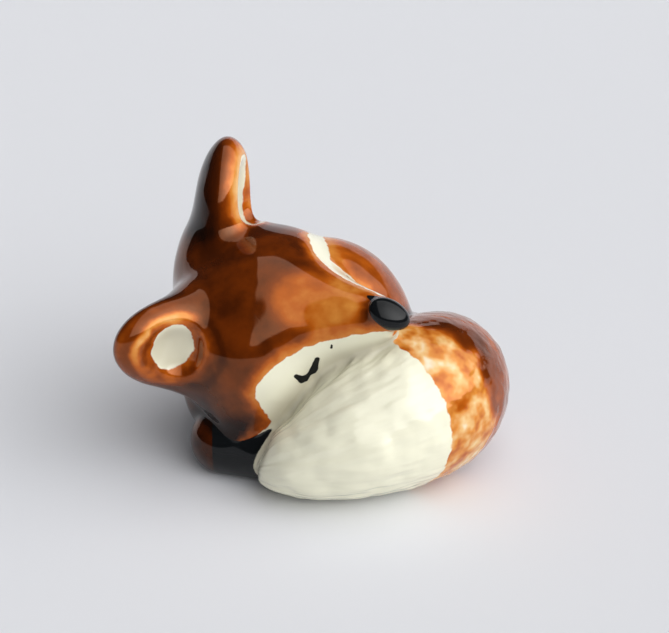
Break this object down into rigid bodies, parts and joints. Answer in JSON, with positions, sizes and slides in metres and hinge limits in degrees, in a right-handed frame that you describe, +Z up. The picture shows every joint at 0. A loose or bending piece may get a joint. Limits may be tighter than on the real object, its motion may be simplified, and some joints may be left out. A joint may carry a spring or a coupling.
{
  "type": "sleeping fox figurine",
  "caption": "Small glazed porcelain fox, curled up asleep with its chin and muzzle laid on its wrapped-round bushy tail; free-standing shelf ornament.",
  "frame": {"origin": "middle of the trunk's flat foot, on the plane that the figurine stands on", "axes": "+Z up; +X from the head end to the rump, along the figurine's longest side; -Y towards the side that the tail sweeps round, where the face shows"},
  "size_m": [0.0355, 0.027, 0.0281],
  "materials": {
    "amber_glaze": "high-gloss transparent amber-brown glaze over white porcelain, darker where it pools and paler on the rims",
    "white_glaze": "high-gloss clear glaze over white porcelain, with amber brushed in at the root of the brush",
    "black_glaze": "high-gloss black underglaze paint"
  },
  "bodies": {
    "root": {"trunk": "amber_glaze", "haunch": "amber_glaze", "shoulder": "amber_glaze", "forepaw": "black_glaze", "tail": "white_glaze", "head": "amber_glaze", "muzzle": "amber_glaze", "nose": "black_glaze", "right_ear": "amber_glaze", "left_ear": "amber_glaze"}
  },
  "joints": []
}
